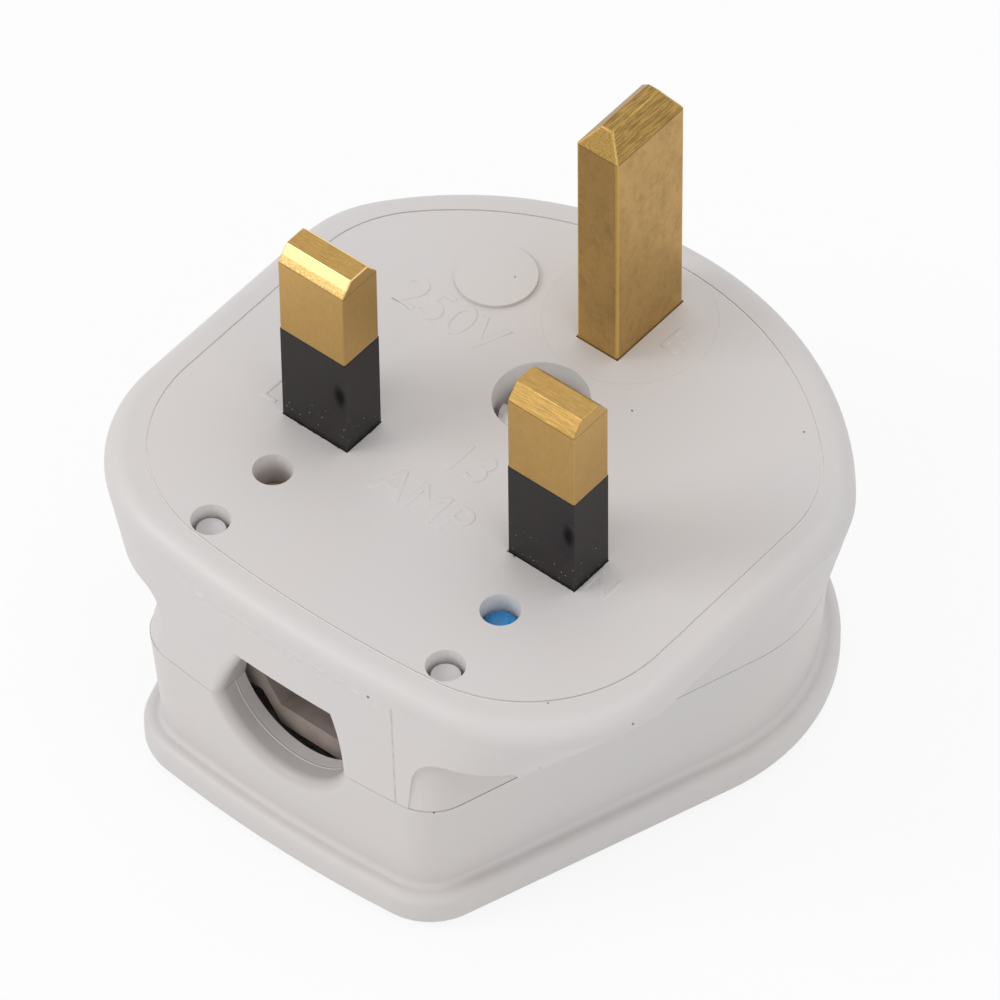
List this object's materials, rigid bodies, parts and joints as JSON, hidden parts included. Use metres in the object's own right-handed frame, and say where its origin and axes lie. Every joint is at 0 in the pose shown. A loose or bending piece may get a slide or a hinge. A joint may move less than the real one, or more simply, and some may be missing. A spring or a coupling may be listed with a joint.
{
  "type": "mains plug",
  "caption": "Rewirable UK mains plug with rectangular brass pins, part sleeved live and neutral pins, a cord entry with an inner grip, and a proud grip foot.",
  "frame": {"origin": "on the pin face, midway between the centres of the live and neutral pins", "axes": "+Z along the pins away from the pin face, +Y towards the earth pin, +X towards the neutral pin; the cord leaves towards -Y"},
  "size_m": [0.0518, 0.0528, 0.0468],
  "materials": {
    "moulding": "warm light grey, satin",
    "cover_moulding": "warm light grey, satin",
    "pin_brass": "brushed, lightly tarnished",
    "sleeve": "near black, satin",
    "inner_brass": "bright",
    "steel_screw": "plated",
    "fuse_cap": "nickel plated",
    "fuse_tube": "unglazed",
    "washer": "vulcanised fibre",
    "grip_plastic": "light nylon",
    "grip_fibre": "dark brown vulcanised fibre",
    "blue_marker": "blue",
    "brown_marker": "brown"
  },
  "bodies": {
    "root": {"base": "moulding", "cover": "cover_moulding", "earth_pin": "pin_brass", "neutral_pin": "pin_brass", "live_pin": "pin_brass", "neutral_sleeve": "sleeve", "live_sleeve": "sleeve", "earth_screw": "inner_brass", "neutral_screw": "inner_brass", "live_screw": "inner_brass", "live_terminal": "inner_brass", "pin_fuse_clip": "inner_brass", "terminal_fuse_clip": "inner_brass", "cover_insert": "inner_brass", "cover_screw": "steel_screw", "cord_grip_screw_left": "steel_screw", "cord_grip_screw_right": "steel_screw", "fuse_cap_pin_end": "fuse_cap", "fuse_cap_wire_end": "fuse_cap", "fuse_body": "fuse_tube", "screw_washer": "washer", "cord_grip": "grip_fibre", "grip_peg_left": "grip_plastic", "grip_peg_right": "grip_plastic", "neutral_marker": "blue_marker", "live_marker": "brown_marker"}
  },
  "joints": []
}
